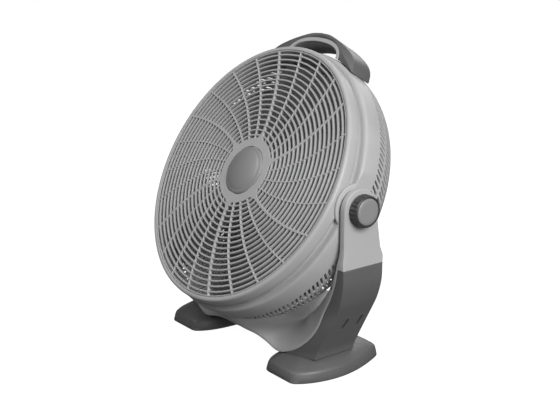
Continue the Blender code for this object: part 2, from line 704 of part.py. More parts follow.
def leg_screw(side, word, yoke_body, cover):
    out = Vector((side * math.sin(LEG_SCREW_TURN), 0.0, -math.cos(LEG_SCREW_TURN)))
    seat = Vector((0.0, LEG_SCREW_Y, PIVOT_HEIGHT)) + out * LEG_SCREW_RADIUS
    axis = out * math.cos(LEG_SCREW_LEAN) + Vector((0.0, math.sin(LEG_SCREW_LEAN), 0.0))
    turn = Vector((0, 0, 1)).rotation_difference(axis)
    for name, radius, low, high, target in (
        ("sink", 0.0040, -0.008, 0.0, yoke_body),
        ("drill", 0.0023, -0.008, 0.014, yoke_body),
        ("bite", 0.0023, -0.008, 0.011, cover),
    ):
        cutter = cylinder(f"leg_{name}_{word}", radius, low, high, STEEL, segments=12, axis="Z")
        cutter.rotation_mode = "QUATERNION"
        cutter.rotation_quaternion = turn
        cutter.location = seat
        combine(target, cutter)
    screw(f"leg_screw_{word}", seat - axis * GAP, axis, 0.0034, 0.0020, 0.0095)


def legs(yoke_body):
    for side, word in ((-1, "left"), (1, "right")):
        cover = leg_cover_solid(f"leg_cover_{word}", side, 0.0, DARK)
        cavity = leg_cover_solid(f"leg_cavity_{word}", side, 0.0035, DARK)
        combine(cover, cavity)
        for k, y in enumerate((PIVOT_Y + 0.001, PIVOT_Y + 0.036)):
            outline = slot_outline(y, 0.110, 0.024, 0.0065)
            slot = prism(f"leg_slot_{word}_{k}", outline, side * 0.225, side * 0.29, DARK, axis="X")
            combine(cover, slot)
        for k, y in enumerate(FOOT_SCREWS_Y):
            drill = cylinder(f"leg_hole_{word}_{k}", 0.0023, 0.02, 0.05, DARK, segments=10, axis="Z",
                             centre=(side * FOOT_SCREW_X, y))
            combine(cover, drill)
        leg_screw(side, word, yoke_body, cover)


FOOT_SCREW_X = 0.180
FOOT_SCREWS_Y = (PIVOT_Y - 0.015, PIVOT_Y + 0.035)
FOOT_PAD_X = 0.162
FOOT_PADS_Y = (PIVOT_Y - 0.070, PIVOT_Y + 0.110)

# Half of a foot's plan: y from the tilt axis, inner x and outer x.
FOOT_PLAN = [
    (-0.090, 0.129, 0.196), (-0.087, 0.121, 0.203), (-0.070, 0.110, 0.2150), (-0.045, 0.102, 0.2250),
    (-0.015, 0.098, 0.2310), (0.015, 0.097, 0.2320), (0.045, 0.099, 0.2280), (0.075, 0.104, 0.2200),
    (0.100, 0.112, 0.2110), (0.120, 0.121, 0.2020), (0.1285, 0.130, 0.193), (0.130, 0.137, 0.186),
]
# Height, then how far the outline has drawn in at the front, at the sides and at the rear.
FOOT_LEVELS = [(FOOT_BOTTOM_Z, 0.003, 0.002, 0.003), (0.0050, 0.0, 0.0, 0.0), (0.0200, 0.004, 0.002, 0.003),
               (0.0270, 0.012, 0.006, 0.008), (0.0320, 0.022, 0.014, 0.016), (0.0350, 0.032, 0.022, 0.024),
               (FOOT_TOP_Z, 0.040, 0.026, 0.030)]


def foot_outline(side, front, sides, rear):
    low, high = FOOT_PLAN[0][0], FOOT_PLAN[-1][0]
    middle = (low + high) / 2
    stretch = (high - low - front - rear) / (high - low)
    shift = (front - rear) / 2
    right = []
    left = []
    for y, inner, outer in FOOT_PLAN:
        centre = (inner + outer) / 2
        half = (outer - inner) / 2 - sides
        y = PIVOT_Y + middle + (y - middle) * stretch + shift
        right.append((side * (centre + half), y))
        left.append((side * (centre - half), y))
    return right + left[::-1]


def feet():
    for side, word in ((-1, "left"), (1, "right")):
        rings = [[(x, y, level[0]) for x, y in foot_outline(side, *level[1:])] for level in FOOT_LEVELS]
        count = len(rings[0])
        points = [p for ring in rings for p in ring]
        faces = [list(range(count)), list(range(len(points) - 1, len(points) - count - 1, -1))]
        for ring in range(len(rings) - 1):
            for k in range(count):
                n = (k + 1) % count
                low, high = ring * count, (ring + 1) * count
                faces.append([low + k, low + n, high + n, high + k])
        foot = add(f"foot_{word}", points, faces, DARK)
        near, far = sorted((side * 0.132, side * 0.212))
        front, rear = PIVOT_Y - 0.045, PIVOT_Y + 0.080
        hollow = [(near, front), (far, front), (far, rear), (near, rear)]
        combine(foot, prism(f"foot_hollow_{word}", hollow, -0.01, 0.0270, DARK, axis="Z"))
        for k, y in enumerate(FOOT_SCREWS_Y):
            drill = cylinder(f"foot_hole_{word}_{k}", 0.0023, 0.02, 0.05, DARK, segments=10, axis="Z",
                             centre=(side * FOOT_SCREW_X, y))
            combine(foot, drill)
            place = (side * FOOT_SCREW_X, y, 0.0270 - GAP)
            screw(f"foot_screw_{word}_{k + 1}", place, (0, 0, 1), 0.0042, 0.0020, 0.0130)
        for k, y in enumerate(FOOT_PADS_Y):
            where = "front" if k == 0 else "rear"
            cylinder(f"rubber_pad_{where}_{word}", 0.0110, 0.0, FOOT_BOTTOM_Z - GAP, RUBBER, segments=20,
                     axis="Z", centre=(side * FOOT_PAD_X, y))


front_grille()
drum_housing()
handle()
fan_blade()
motor()
rear_controls()
pivots()
legs(yoke())
feet()
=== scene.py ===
"""The looks of the tilting floor fan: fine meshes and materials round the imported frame.

Metres, +Z up, the front faces -Y. Head pieces are built in the head's own frame: its origin is on the
tilt axis, +Y points to the rear along the blade's axis and +Z points to the handle.
"""

import json
import math

import bmesh
import bpy
from mathutils import Matrix, Vector


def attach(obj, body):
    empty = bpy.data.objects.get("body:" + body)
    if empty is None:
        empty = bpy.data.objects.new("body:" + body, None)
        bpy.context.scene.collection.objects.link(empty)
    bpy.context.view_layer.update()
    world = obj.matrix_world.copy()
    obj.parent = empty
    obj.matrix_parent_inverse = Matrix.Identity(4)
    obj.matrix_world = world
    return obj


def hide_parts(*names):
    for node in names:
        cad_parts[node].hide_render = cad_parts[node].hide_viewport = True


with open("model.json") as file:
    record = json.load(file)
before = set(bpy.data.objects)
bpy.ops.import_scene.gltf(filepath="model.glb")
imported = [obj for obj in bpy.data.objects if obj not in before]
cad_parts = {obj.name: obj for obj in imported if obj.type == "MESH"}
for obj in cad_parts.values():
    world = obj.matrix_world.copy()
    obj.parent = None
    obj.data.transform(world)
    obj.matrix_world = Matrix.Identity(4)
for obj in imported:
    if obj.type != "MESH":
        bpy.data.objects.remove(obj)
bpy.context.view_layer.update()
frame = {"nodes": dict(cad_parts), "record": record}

# ---------------------------------------------------------------- driving dimensions

PIVOT_HEIGHT = 0.333
PIVOT_Y = -0.011
REST_TILT = math.radians(30.4)
GRILLE_Y = -0.054
WALL = 0.0028

GRILLE_RADIUS = 0.2512
GRILLE_FACE = GRILLE_Y + 0.0006
GRILLE_DEPTH = 0.0052
GRILLE_RINGS = 17
FIRST_RING_RADIUS = 0.073
LAST_RING_RADIUS = 0.242
RING_WIDTH = 0.0032
GRILLE_SPOKES = 24
SECTOR_STEPS = 6
THICK_SPOKE_EVERY = 4
HUB_RING_RADIUS = 0.0665
SPIRAL_TURN = math.radians(17.6)
FIRST_SPOKE_TURN = math.radians(3.0)
THIN_SPOKE_HALF = 0.0013
THICK_SPOKE_HALF = 0.0021
SPOKE_FLARE = 0.0075
SPOKE_FLARE_LENGTH = 0.020
BADGE_RADIUS = 0.0482

SLOT_COUNT = 160
SLOT_SLANT = math.tan(math.radians(32.0))
DRUM_FLAT_X = 0.262
BOSS_RADIUS = 0.043
BOSS_GROOVE_RADIUS = 0.0495

BLADE_COUNT = 5
BLADE_RADIUS = 0.234
BLADE_HUB_RADIUS = 0.046

LEG_INNER_X = 0.2665
LEG_OUTER_X = 0.279
LEG_TOP_RADIUS = 0.037
LEG_SEAM_Z = 0.228
LEG_REAR_Y = 0.056
TROUGH_RADIUS = 0.2785
# Behind its bottom, the trough runs further back and rises round the head's swing.
BOWL_CREASE_Y = 0.048
BOWL_REAR_Y = 0.130
BOWL_RISE = 0.40
YOKE_WALL = 0.005
GAP = 0.0003

WORLD = Matrix.Identity(4)
PIVOT = Matrix.Translation((0.0, PIVOT_Y, PIVOT_HEIGHT))
HEAD = PIVOT @ Matrix.Rotation(-REST_TILT, 4, "X")

# ---------------------------------------------------------------- materials


def noise(tree, coordinates, scale, detail=3.0):
    node = tree.nodes.new("ShaderNodeTexNoise")
    node.inputs["Scale"].default_value = scale
    node.inputs["Detail"].default_value = detail
    tree.links.new(coordinates, node.inputs["Vector"])
    return node.outputs["Fac"]


def spread(tree, value, low, high):
    node = tree.nodes.new("ShaderNodeMapRange")
    node.inputs["From Min"].default_value = 0.25
    node.inputs["From Max"].default_value = 0.75
    node.inputs["To Min"].default_value = low
    node.inputs["To Max"].default_value = high
    tree.links.new(value, node.inputs["Value"])
    return node.outputs["Result"]


def finish(name, colour, roughness, metallic=0.0, vary=0.06, grain=900.0, grain_height=0.00006,
           stretch=None):
    """A moulded or metal surface: cloudy colour, uneven gloss and a fine grain in the surface."""
    made = bpy.data.materials.new(name)
    made.use_nodes = True
    tree = made.node_tree
    shader = tree.nodes["Principled BSDF"]
    shader.inputs["Metallic"].default_value = metallic
    place = tree.nodes.new("ShaderNodeTexCoord").outputs["Object"]
    if stretch:
        mapping = tree.nodes.new("ShaderNodeMapping")
        mapping.inputs["Scale"].default_value = stretch
        tree.links.new(place, mapping.inputs["Vector"])
        place = mapping.outputs["Vector"]

    cloud = noise(tree, place, 14.0, 5.0)
    mix = tree.nodes.new("ShaderNodeMix")
    mix.data_type = "RGBA"
    mix.inputs["A"].default_value = (*(c * (1 - vary) for c in colour), 1.0)
    mix.inputs["B"].default_value = (*(min(1.0, c * (1 + vary)) for c in colour), 1.0)
    tree.links.new(spread(tree, cloud, 0.0, 1.0), mix.inputs["Factor"])
    tree.links.new(mix.outputs["Result"], shader.inputs["Base Color"])

    gloss = noise(tree, place, 60.0, 4.0)
    tree.links.new(spread(tree, gloss, roughness - 0.05, roughness + 0.05), shader.inputs["Roughness"])

    bump = tree.nodes.new("ShaderNodeBump")
    bump.inputs["Strength"].default_value = 0.6
    bump.inputs["Distance"].default_value = grain_height
    tree.links.new(noise(tree, place, grain, 2.0), bump.inputs["Height"])
    tree.links.new(bump.outputs["Normal"], shader.inputs["Normal"])
    return made


FINISHES = {
    "light_plastic": finish("light_plastic", (0.47, 0.47, 0.47), 0.42),
    "dark_plastic": finish("dark_plastic", (0.125, 0.125, 0.126), 0.45),
    "black_plastic": finish("black_plastic", (0.045, 0.045, 0.046), 0.42),
    "knob_plastic": finish("knob_plastic", (0.27, 0.27, 0.27), 0.36),
    "steel": finish("steel", (0.55, 0.56, 0.58), 0.30, 1.0, 0.08, 400.0, 0.00003),
    # Near-black steel for the leg screws: its dark colour is painted shade, standing in for the shade
    # inside the screws' holes.
    "blackened_steel": finish("blackened_steel", (0.035, 0.035, 0.037), 0.50, 0.6, 0.08, 400.0,
                              0.00003),
    "lamination": finish("lamination", (0.25, 0.25, 0.27), 0.45, 1.0, 0.15, 30.0, 0.0002, (1, 60, 1)),
    "copper": finish("copper", (0.72, 0.38, 0.20), 0.35, 1.0, 0.15, 60.0, 0.0003, (1, 12, 1)),
    "brass": finish("brass", (0.72, 0.55, 0.25), 0.35, 1.0, 0.08, 300.0, 0.00005),
    "aluminium": finish("aluminium", (0.60, 0.60, 0.62), 0.42, 1.0, 0.06, 350.0, 0.00015),
    "rubber": finish("rubber", (0.025, 0.025, 0.025), 0.80, 0.0, 0.2, 700.0, 0.0001),
    "nylon": finish("nylon", (0.60, 0.58, 0.52), 0.45, 0.0, 0.04, 800.0, 0.00004),
}

# ---------------------------------------------------------------- mesh helpers


def outward_mesh(name, points, faces):
    mesh = bpy.data.meshes.new(name)
    mesh.from_pydata([tuple(p) for p in points], [], faces)
    shape = bmesh.new()
    shape.from_mesh(mesh)
    bmesh.ops.recalc_face_normals(shape, faces=shape.faces)
    shape.to_mesh(mesh)
    shape.free()
    return mesh


def joined(points, faces, more_points, more_faces):
    """Points and faces of two solids, as one list of each."""
    shift = len(points)
    faces = faces + [[n + shift for n in face] for face in more_faces]
    return list(points) + list(more_points), faces


def piece(name, points, faces, slot, body, nodes, place=WORLD, smooth_angle=35.0, bevel=0.0):
    """A closed mesh with its faces outward, which rides on `body` and stands for the CAD `nodes`."""
    mesh = outward_mesh(name, points, faces)
    mesh.materials.append(FINISHES[slot])
    mesh.shade_smooth()
    mesh.set_sharp_from_angle(angle=math.radians(smooth_angle))
    obj = bpy.data.objects.new(name, mesh)
    bpy.context.scene.collection.objects.link(obj)
    obj.matrix_world = place
    if bevel:
        rounding = obj.modifiers.new("rounding", "BEVEL")
        rounding.width = bevel
        rounding.segments = 3
        rounding.angle_limit = math.radians(40.0)
        rounding.harden_normals = True
    if nodes:
        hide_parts(*nodes)
    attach(obj, body)
    return obj


def cut(target, points, faces):
    """Takes the solid of these points and faces out of a piece, for good."""
    cutter = bpy.data.objects.new("cutter", outward_mesh("cutter", points, faces))
    bpy.context.scene.collection.objects.link(cutter)
    cutter.matrix_world = target.matrix_world
    step = target.modifiers.new("cut", "BOOLEAN")
    step.operation = "DIFFERENCE"
    step.object = cutter
    bpy.context.view_layer.update()
    graph = bpy.context.evaluated_depsgraph_get()
    result = bpy.data.meshes.new_from_object(target.evaluated_get(graph))
    result.set_sharp_from_angle(angle=math.radians(35.0))
    target.modifiers.clear()
    target.data = result
    bpy.data.objects.remove(cutter, do_unlink=True)


def read(table, value):
    """Smooth reading of a table of (value, result...) rows."""
    rows = sorted(table)
    value = min(max(value, rows[0][0]), rows[-1][0])
    k = sum(1 for row in rows[1:-1] if row[0] <= value)
    low, high = rows[k], rows[k + 1]
    before, after = rows[max(k - 1, 0)], rows[min(k + 2, len(rows) - 1)]
    width = high[0] - low[0]
    t = (value - low[0]) / width
    result = []
    for i in range(1, len(low)):
        start = (high[i] - before[i]) / (high[0] - before[0]) * width
        end = (after[i] - low[i]) / (after[0] - low[0]) * width
        level = (2 * t**3 - 3 * t**2 + 1) * low[i] + (3 * t**2 - 2 * t**3) * high[i]
        result.append(level + (t**3 - 2 * t**2 + t) * start + (t**3 - t**2) * end)
    return result


def steps(low, high, count):
    return [low + (high - low) * k / count for k in range(count + 1)]


def turned(profile, segments=96, axis="Y", centre=(0.0, 0.0)):
    """Points and faces of a profile of (radius, place along the axis) turned about that axis."""
    points = []
    rings = []
    for radius, along in profile:
        ring = []
        for k in range(segments if radius > 0 else 1):
            turn = 2 * math.pi * k / segments
            a = centre[0] + radius * math.cos(turn)
            b = centre[1] + radius * math.sin(turn)
            ring.append(len(points))
            points.append({"X": (along, a, b), "Y": (a, along, b), "Z": (a, b, along)}[axis])
        rings.append(ring)
    pairs = list(zip(rings, rings[1:]))
    if len(rings[0]) > 1:
        pairs.append((rings[-1], rings[0]))
    faces = []
    for low, high in pairs:
        for k in range(segments):
            n = (k + 1) % segments
            corners = [low[k % len(low)], low[n % len(low)], high[n % len(high)], high[k % len(high)]]
            faces.append(list(dict.fromkeys(corners)))
    return points, faces


def loops_solid(loops):
    """A solid between loops of equal length, closed by a face at each end."""
    count = len(loops[0])
    points = [p for loop in loops for p in loop]
    faces = [list(range(count)), list(range(len(points) - 1, len(points) - count - 1, -1))]
    for low in range(0, len(points) - count, count):
        for k in range(count):
            n = (k + 1) % count
            faces.append([low + k, low + n, low + count + n, low + count + k])
    return points, faces


def lattice(rows, columns, is_solid, place):
    """A round openwork shell. `place(row, column, side)` gives a point, side 0 outside, 1 inside."""
    points = []
    index = {}

    def at(r, c, side):
        key = (r, c % columns, side)
        if key not in index:
            index[key] = len(points)
            points.append(place(r, c % columns, side))
        return index[key]

    faces = []
    for r in range(rows):
        for c in range(columns):
            if not is_solid(r, c):
                continue
            faces.append([at(r, c, 0), at(r, c + 1, 0), at(r + 1, c + 1, 0), at(r + 1, c, 0)])
            faces.append([at(r, c, 1), at(r + 1, c, 1), at(r + 1, c + 1, 1), at(r, c + 1, 1)])
            sides = (
                (r - 1, c, (r, c), (r, c + 1)),
                (r + 1, c, (r + 1, c + 1), (r + 1, c)),
                (r, (c - 1) % columns, (r + 1, c), (r, c)),
                (r, (c + 1) % columns, (r, c + 1), (r + 1, c + 1)),
            )
            for nr, nc, a, b in sides:
                if not 0 <= nr < rows or not is_solid(nr, nc):
                    faces.append([at(*a, 0), at(*a, 1), at(*b, 1), at(*b, 0)])
    return points, faces


def rim_chain(front, back, front_out, back_out, radius):
    """Points round a wall's edge, from its front face to its back face, with both corners rounded."""
    through = (back - front).normalized()
    radius = min(radius, 0.49 * (back - front).length)
    chain = []
    for turn in (0.0, 30.0, 60.0, 90.0):
        out, deep = math.sin(math.radians(turn)), math.cos(math.radians(turn))
        chain.append(front - front_out * radius * (1 - out) + through * radius * (1 - deep))
    for turn in (90.0, 60.0, 30.0, 0.0):
        out, deep = math.sin(math.radians(turn)), math.cos(math.radians(turn))
        chain.append(back - back_out * radius * (1 - out) - through * radius * (1 - deep))
    return chain


def rounded_sheet(front, back, radius, arcs=None):
    """A wall between two grids of points, with rounded edges all round.

    `arcs` closes the first and last rows by round ends: two lists of (front, back, outward) points.
    """
    front = [[Vector(p) for p in row] for row in front]
    back = [[Vector(p) for p in row] for row in back]
    rows, columns = len(front), len(front[0])
    cells = {}
    points = []
    faces = []

    def add(p):
        points.append(p)
        return len(points) - 1

    def outward(grid, r, c):
        nr = min(max(r, 1), rows - 2) if arcs is None else r
        nc = min(max(c, 1), columns - 2)
        return (grid[r][c] - grid[nr][nc]).normalized()

    def edge(r, c):
        chain = rim_chain(front[r][c], back[r][c], outward(front, r, c), outward(back, r, c), radius)
        ids = [add(p) for p in chain]
        cells[r, c, 0], cells[r, c, 1] = ids[0], ids[-1]
        return ids

    rim = [edge(r, 0) for r in range(rows)]
    if arcs is None:
        rim += [edge(rows - 1, c) for c in range(1, columns)]
        rim += [edge(r, columns - 1) for r in range(rows - 2, -1, -1)]
        rim += [edge(0, c) for c in range(columns - 2, 0, -1)]
    else:
        ends = []
        for arc in arcs:
            ends.append([[add(p) for p in rim_chain(f, b, o, o, radius)] for f, b, o in arc])
        rim += ends[1]
        rim += [edge(r, columns - 1) for r in range(rows - 1, -1, -1)]
        rim += ends[0]
    for r in range(rows):
        for c in range(columns):
            for side, grid in ((0, front), (1, back)):
                if (r, c, side) not in cells:
                    cells[r, c, side] = add(grid[r][c])
    for r in range(rows - 1):
        for c in range(columns - 1):
            for side in (0, 1):
                faces.append([cells[r, c, side], cells[r, c + 1, side], cells[r + 1, c + 1, side],
                              cells[r + 1, c, side]])
    for here, there in zip(rim, rim[1:] + rim[:1]):
        for k in range(len(here) - 1):
            faces.append([here[k], there[k], there[k + 1], here[k + 1]])
    if arcs is not None:
        for side, pick in ((0, 0), (1, -1)):
            faces.append([cells[0, c, side] for c in range(columns)] + [i[pick] for i in ends[0]])
            last = [cells[rows - 1, c, side] for c in range(columns - 1, -1, -1)]
            faces.append(last + [i[pick] for i in ends[1]])
    return points, faces


# ---------------------------------------------------------------- head: grille, badge and front ring


def spiral(radius):
    """How far a grille spoke has turned, in radians, at this radius, from its outer end."""
    share = max(0.0, GRILLE_RADIUS - radius) / (GRILLE_RADIUS - HUB_RING_RADIUS)
    return SPIRAL_TURN * share**1.05


def spoke_half_width(spoke, radius):
    if spoke % THICK_SPOKE_EVERY != 3:
        return THIN_SPOKE_HALF
    flare = max(0.0, min(1.0, 1 - (radius - HUB_RING_RADIUS) / SPOKE_FLARE_LENGTH))
    widening = 0.0007 * (1 - radius / GRILLE_RADIUS)
    return THICK_SPOKE_HALF + widening + SPOKE_FLARE * flare**2.2


def front_grille():
    pitch = (LAST_RING_RADIUS - FIRST_RING_RADIUS) / (GRILLE_RINGS - 1)
    radii = [BADGE_RADIUS + 3 * GAP, HUB_RING_RADIUS]
    bars = {0}
    for k in range(GRILLE_RINGS):
        middle = FIRST_RING_RADIUS + k * pitch
        inner = middle - RING_WIDTH / 2
        gaps = steps(radii[-1], inner, 3)[1:]
        radii += gaps
        bars.add(len(radii) - 1)
        radii.append(middle + RING_WIDTH / 2)
    radii += steps(radii[-1], GRILLE_RADIUS - 0.0022, 2)[1:]
    bars.add(len(radii) - 1)
    radii.append(GRILLE_RADIUS)
    per_sector = SECTOR_STEPS + 1

    def place(r, c, side):
        radius = radii[r]
        spoke, part = divmod(c, per_sector)
        middle = FIRST_SPOKE_TURN + 2 * math.pi * spoke / GRILLE_SPOKES
        start = middle + spoke_half_width(spoke, radius) / radius
        after = spoke_half_width((spoke + 1) % GRILLE_SPOKES, radius) / radius
        end = middle + 2 * math.pi / GRILLE_SPOKES - after
        if part == 0:
            turn = middle - spoke_half_width(spoke, radius) / radius
        else:
            turn = start + (end - start) * (part - 1) / SECTOR_STEPS
        turn += spiral(radius)
        return (radius * math.sin(turn), GRILLE_FACE + side * GRILLE_DEPTH, radius * math.cos(turn))

    points, faces = lattice(len(radii) - 1, GRILLE_SPOKES * per_sector,
                            lambda r, c: r in bars or c % per_sector == 0, place)
    piece("front_grille", points, faces, "light_plastic", "head", ["front_grille"], HEAD, 30.0, 0.0006)


def badge():
    """The dome in the middle of the grille, with a shallow groove and a raised plain disc."""
    profile = [(0.0, -0.0080)]
    for radius in steps(0.004, 0.0465, 20):
        profile.append((radius, -0.0080 + 0.0072 * (radius / 0.0465) ** 2.3))
    profile += [(0.0476, 0.0002), (BADGE_RADIUS, 0.0014), (BADGE_RADIUS, 0.0050), (0.0, 0.0050)]
    for k, (radius, depth) in enumerate(profile):
        if 0.0395 < radius < 0.0425:
            profile[k] = (radius, depth + 0.0006)
    points, faces = turned([(r, GRILLE_Y + d) for r, d in profile])
    piece("grille_badge", points, faces, "knob_plastic", "head", ["grille_badge"], HEAD)


def front_ring():
    profile = [
        (0.2521, 0.0046), (0.2521, 0.0008), (0.2527, 0.0001), (0.2540, -0.0001), (0.2565, 0.0000),
        (0.2584, 0.0006), (0.2597, 0.0020), (0.2606, 0.0045), (0.2613, 0.0090), (0.2618, 0.0140),
        (0.2620, 0.0195), (0.2617, 0.0218), (0.2606, 0.0236), (0.2590, 0.0246), (0.2575, 0.0249),
        (0.2575, 0.0257), (0.2480, 0.0257), (0.2480, 0.0068), (0.2521, 0.0068),
    ]
    points, faces = turned([(r, GRILLE_Y + d) for r, d in profile], 240)
    ring = piece("front_ring", points, faces, "light_plastic", "head", ["front_ring"], HEAD)
    for side in (-1, 1):
        notch = [(0.0, side * 0.2572), (BOSS_GROOVE_RADIUS - 0.0025, side * 0.2572),
                 (BOSS_GROOVE_RADIUS, side * 0.2620), (BOSS_GROOVE_RADIUS + 0.0015, side * 0.2660),
                 (0.0, side * 0.2660)]
        cut(ring, *turned(notch, 96, "X"))


# ---------------------------------------------------------------- head: drum housing

# Outer surface of the drum: depth behind the grille plane and radius.
DRUM = [
    (0.0260, 0.2530), (0.0330, 0.2530), (0.0346, 0.2550), (0.0356, 0.2615), (0.0370, 0.2660),
    (0.0395, 0.2680), (0.0450, 0.2691), (0.0560, 0.2699), (0.0700, 0.2696), (0.0840, 0.2684),
    (0.0950, 0.2664), (0.1060, 0.2632), (0.1150, 0.2593), (0.1230, 0.2548), (0.1310, 0.2491),
    (0.1390, 0.2420), (0.1460, 0.2340), (0.1520, 0.2250), (0.1570, 0.2150), (0.1610, 0.2040),
    (0.1640, 0.1920),
]
SHOULDER_SLOTS = ((0.0740, 0.0915), (0.0955, 0.1150), (0.1190, 0.1370), (0.1410, 0.1580))
# Rear face: bands of radial slots, by outer and inner radius, and shoulder slots for each rear one.
REAR_SLOTS = ((0.1840, 0.1480, 1), (0.1420, 0.1080, 2))
REAR_SLOT_SHARE = 0.6
REAR_FACE_DEPTH = 0.1645
REAR_FACE_RADIUS = 0.1860
REAR_FACE_SLOPE = 0.0655
PLAIN_DEPTHS = (
    0.0260, 0.0330, 0.0346, 0.0351, 0.0356, 0.0363, 0.0370, 0.0382, 0.0395, 0.0420, 0.0450, 0.0500,
    0.0560, 0.0650,
)


def drum_rows():
    """Rows of the drum: (depth, radius, slot width as a share, columns per slot), front to rear.

    A slot lies between two rows whose widths are both above 0.
    """
    rows = [(d, read(DRUM, d)[0], 0.0, 1) for d in PLAIN_DEPTHS]

    def band(start, end, point, per):
        length = abs(end - start)
        ends = ((0.0, 0.30), (0.0003, 0.62), (0.0010, 0.88), (0.0022, 1.0))
        shares = [(e / length, w) for e, w in ends] + [(k / 4, 1.0) for k in (1, 2, 3)]
        shares += [(1 - e / length, w) for e, w in reversed(ends)]
        return [(*point(start + (end - start) * s), w, per) for s, w in shares]

    for start, end in SHOULDER_SLOTS:
        rows += band(start, end, lambda d: (d, read(DRUM, d)[0]), 1)
    rows.append((0.1625, read(DRUM, 0.1625)[0], 0.0, 1))
    for start, end, per in REAR_SLOTS:
        slots = band(start, end,
                     lambda r: (REAR_FACE_DEPTH + (REAR_FACE_RADIUS - r) * REAR_FACE_SLOPE, r), per)
        rows += [(depth, radius, width * REAR_SLOT_SHARE, per) for depth, radius, width, per in slots]
    rows += [(0.1702, 0.1020, 0.0, 1), (0.1710, 0.0960, 0.0, 1), (0.1710, 0.0120, 0.0, 1)]
    return rows


def soft_limit(value, limit, soft=0.0012):
    """The value, or the limit once it is past it, with a rounded corner between."""
    size = abs(value)
    if size < limit - soft:
        return value
    size = limit - soft + soft * math.tanh((size - limit + soft) / soft)
    return math.copysign(size, value)


def drum_housing():
    rows = drum_rows()
    columns = SLOT_COUNT * 4
    travel = [0.0]
    for low, high in zip(rows, rows[1:]):
        step = math.hypot(high[0] - low[0], high[1] - low[1]) / max(0.12, (low[1] + high[1]) / 2)
        travel.append(travel[-1] + (step * SLOT_SLANT if low[0] >= SHOULDER_SLOTS[0][0] else 0.0))
    normals = []
    for k, row in enumerate(rows):
        before, after = rows[max(k - 1, 0)], rows[min(k + 1, len(rows) - 1)]
        along = Vector((after[0] - before[0], after[1] - before[1])).normalized()
        normals.append((-along.y, along.x))

    def place(r, c, side):
        depth, radius, width, per = rows[r]
        if side:
            depth -= WALL * normals[r][0]
            radius -= WALL * normals[r][1]
        quarter = c % (4 * per) / per
        if width and quarter in (0.0, 2.0):
            quarter = 1 + (quarter - 1) * width
        column = c // (4 * per) * 4 * per + quarter * per
        turn = 2 * math.pi * column / columns + travel[r]
        limit = DRUM_FLAT_X - side * WALL
        x = soft_limit(radius * math.sin(turn), limit)
        return (x, GRILLE_Y + depth, radius * math.cos(turn))

    def is_solid(r, c):
        _, _, width, per = rows[r]
        in_slot = width > 0 and rows[r + 1][2] > 0 and rows[r][3] == rows[r + 1][3]
        if in_slot and width < 0.4 and rows[r + 1][2] < 0.4:
            in_slot = False
        return not in_slot or c % (4 * per) >= 2 * per

    points, faces = lattice(len(rows) - 1, columns, is_solid, place)
    piece("drum_housing", points, faces, "light_plastic", "head", ["drum_housing"], HEAD, 40.0)


def pivot_bosses():
    """The round pad at each tilt pivot, which stands forward of the drum into the front ring."""
    for side, word in ((-1, "left"), (1, "right")):
        outline = []
        for k in range(49):
            turn = math.radians(112.0 + 136.0 * k / 48)
            outline.append((math.cos(turn), math.sin(turn)))
        loops = []
        for radius, x in ((BOSS_RADIUS - 0.001, 0.2572), (BOSS_RADIUS, 0.2580), (BOSS_RADIUS, 0.2604),
                          (BOSS_RADIUS - 0.0005, 0.2613), (BOSS_RADIUS - 0.0016, 0.2619)):
            loops.append([(side * x, radius * y, radius * z) for y, z in outline])
        points, faces = loops_solid(loops)
        piece(f"pivot_boss_{word}", points, faces, "light_plastic", "head", [], HEAD)


# ---------------------------------------------------------------- head: handle

HANDLE_OUTER = [
    (0.000, 0.3090), (0.025, 0.3070), (0.050, 0.3000), (0.075, 0.2905), (0.100, 0.2785),
    (0.115, 0.2680), (0.125, 0.2550), (0.129, 0.2420),
]
HANDLE_HOLE_HALF = 0.070
HANDLE_APEX = 0.2905
HANDLE_STEPS = 34
HANDLE_FRONT = 0.0375
HANDLE_REAR = 0.0900
LIP_BACK = 0.0415
DRUM_TOP_RADIUS = 0.2700
# Outer edge of the light band round the hand hole.
LIP_OUTER = [
    (0.000, 0.2985), (0.025, 0.2970), (0.045, 0.2930), (0.062, 0.2850), (0.074, 0.2740),
    (0.079, 0.2640),
]


def handle_outline(outer, apex):
    """The right half of a grip in the head's front view, as (x, z): over the top, then drum and hole."""
    right = []
    for share in steps(0.0, 1.0, HANDLE_STEPS):
        x = outer[-1][0] * math.sin(share * math.pi / 2)
        right.append((x, read(outer, x)[0]))
    seat = DRUM_TOP_RADIUS + GAP
    end = math.asin(outer[-1][0] / seat)
    start = math.asin(HANDLE_HOLE_HALF / seat)
    for turn in steps(end, start, 8):
        right.append((seat * math.sin(turn), seat * math.cos(turn)))
    low = right[-1][1]
    for turn in steps(0.0, math.pi / 2, 18)[1:]:
        right.append((HANDLE_HOLE_HALF * math.cos(turn), low + (apex - low) * math.sin(turn) ** 0.8))
    return right


def mirrored(right):
    return right + [(-x, z) for x, z in reversed(right[1:-1])]


def handle():
    """A light band round the hand hole, let into the front of the dark grip."""
    lip = mirrored(handle_outline(LIP_OUTER, HANDLE_APEX))
    loops = [[(x, GRILLE_Y + d, z) for x, z in lip] for d in (HANDLE_FRONT - GAP, LIP_BACK)]
    points, faces = loops_solid(loops)
    piece("handle_lip", points, faces, "light_plastic", "head", ["handle_lip"], HEAD, 40.0, 0.0012)
    cover = mirrored(handle_outline(HANDLE_OUTER, HANDLE_APEX - 0.003))
    loops = [[(x, GRILLE_Y + d, z) for x, z in cover] for d in (HANDLE_FRONT, HANDLE_REAR)]
    points, faces = loops_solid(loops)
    grip = piece("handle_cover", points, faces, "dark_plastic", "head", ["handle_cover"], HEAD, 40.0,
                 0.0035)
    over = handle_outline(LIP_OUTER, HANDLE_APEX)[: HANDLE_STEPS + 1]
    right = [(x + GAP, z + GAP) for x, z in over]
    right.append((right[-1][0], 0.250))
    outline = right + [(-x, z) for x, z in reversed(right[1:])]
    seat = [[(x, GRILLE_Y + d, z) for x, z in outline] for d in (0.030, LIP_BACK + GAP)]
    cut(grip, *loops_solid(seat))


